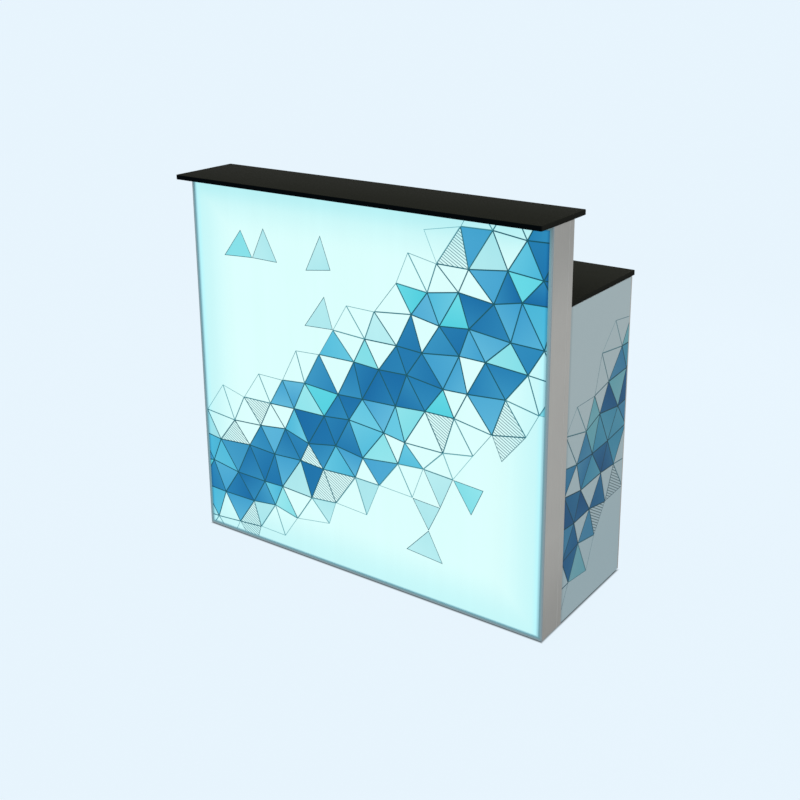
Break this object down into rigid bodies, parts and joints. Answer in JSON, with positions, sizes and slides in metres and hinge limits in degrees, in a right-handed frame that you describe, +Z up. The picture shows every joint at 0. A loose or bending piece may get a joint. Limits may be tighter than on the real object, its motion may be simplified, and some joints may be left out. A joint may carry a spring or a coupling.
{
  "type": "exhibition counter",
  "caption": "Exhibition counter: slim backlit textile front under a bar top, with a doored storage cabinet and a lower desk top behind it.",
  "frame": {"origin": "on the floor, at the centre of the plan's bounding box", "axes": "+X along the front to a visitor's right, +Y from the lit front to the doors behind, +Z up; the lit front faces -Y"},
  "size_m": [1.058, 0.491, 1],
  "materials": {
    "frame_silver": "satin anodised",
    "steel": "satin plated",
    "black_laminate": "satin black laminate on board",
    "lit_textile": "printed backlit textile, stretched flat",
    "white_board": "matt white melamine on board",
    "white_panel": "matt white plastic sheet",
    "printed_skin": "matt print",
    "light_bar_white": "white, with clear lenses",
    "black_plastic": "fine grained black",
    "lead_black": "matt black"
  },
  "bodies": {
    "counter": {"frame_top": "frame_silver", "frame_bottom": "frame_silver", "frame_left": "frame_silver", "frame_right": "frame_silver", "corner_bracket_low_left": "steel", "corner_bracket_low_right": "steel", "corner_bracket_high_left": "steel", "corner_bracket_high_right": "steel", "front_graphic": "lit_textile", "back_panel": "white_panel", "led_bar_bottom": "light_bar_white", "led_bar_top": "light_bar_white", "led_driver": "black_plastic", "power_inlet": "black_plastic", "power_lead": "lead_black", "led_lead_bottom": "lead_black", "led_lead_top": "lead_black", "bar_top": "black_laminate", "bar_top_screw_left": "steel", "bar_top_screw_right": "steel", "desk_top": "black_laminate", "side_panel_left": "white_board", "side_panel_right": "white_board", "side_graphic_left": "printed_skin", "side_graphic_right": "printed_skin", "side_trim_left": "frame_silver", "side_trim_right": "frame_silver", "base_board": "white_board", "plinth_rail": "white_board", "top_rail": "white_board", "shelf": "white_board", "shelf_peg_front_left": "steel", "shelf_peg_front_right": "steel", "shelf_peg_rear_left": "steel", "shelf_peg_rear_right": "steel", "hinge_frame_leaf_low_left": "steel", "hinge_frame_leaf_high_left": "steel", "hinge_frame_leaf_low_right": "steel", "hinge_frame_leaf_high_right": "steel", "hinge_pin_low_left": "steel", "hinge_pin_high_left": "steel", "hinge_pin_low_right": "steel", "hinge_pin_high_right": "steel"},
    "left_door": {"door_left": "white_board", "hinge_door_leaf_low_left": "steel", "hinge_door_leaf_high_left": "steel", "door_handle_left": "steel", "lock_housing_left": "steel"},
    "right_door": {"door_right": "white_board", "hinge_door_leaf_low_right": "steel", "hinge_door_leaf_high_right": "steel", "door_handle_right": "steel", "lock_housing_right": "steel"},
    "left_lock": {"lock_plug_left": "steel"},
    "right_lock": {"lock_plug_right": "steel"},
    "rocker": {"switch_rocker": "black_plastic"},
    "front_left_foot": {"foot_front_left": "black_plastic"},
    "front_right_foot": {"foot_front_right": "black_plastic"},
    "rear_left_foot": {"foot_rear_left": "black_plastic"},
    "rear_right_foot": {"foot_rear_right": "black_plastic"}
  },
  "joints": [
    {"name": "left_door_swing", "type": "hinge", "parent": "counter", "child": "left_door", "pos_m": [-0.50745, 0.2228, 0.40385], "axis": [0, 0, 1], "range_deg": [0, 110]},
    {"name": "right_door_swing", "type": "hinge", "parent": "counter", "child": "right_door", "pos_m": [0.50745, 0.2228, 0.40385], "axis": [0, 0, -1], "range_deg": [0, 110]},
    {"name": "left_lock_turn", "type": "hinge", "parent": "left_door", "child": "left_lock", "pos_m": [-0.0465, 0.2195, 0.7227], "axis": [0, 1, 0], "range_deg": [0, 90]},
    {"name": "right_lock_turn", "type": "hinge", "parent": "right_door", "child": "right_lock", "pos_m": [0.0465, 0.2195, 0.7227], "axis": [0, -1, 0], "range_deg": [0, 90]},
    {"name": "switch_rock", "type": "hinge", "parent": "counter", "child": "rocker", "pos_m": [-0.286, -0.098, 0.14], "axis": [-1, 0, 0], "range_deg": [0, 14]},
    {"name": "front_left_foot_screw", "type": "slide", "parent": "counter", "child": "front_left_foot", "axis": [0, 0, -1], "range_m": [0, 0.012]},
    {"name": "front_right_foot_screw", "type": "slide", "parent": "counter", "child": "front_right_foot", "axis": [0, 0, -1], "range_m": [0, 0.012]},
    {"name": "rear_left_foot_screw", "type": "slide", "parent": "counter", "child": "rear_left_foot", "axis": [0, 0, -1], "range_m": [0, 0.012]},
    {"name": "rear_right_foot_screw", "type": "slide", "parent": "counter", "child": "rear_right_foot", "axis": [0, 0, -1], "range_m": [0, 0.012]}
  ]
}
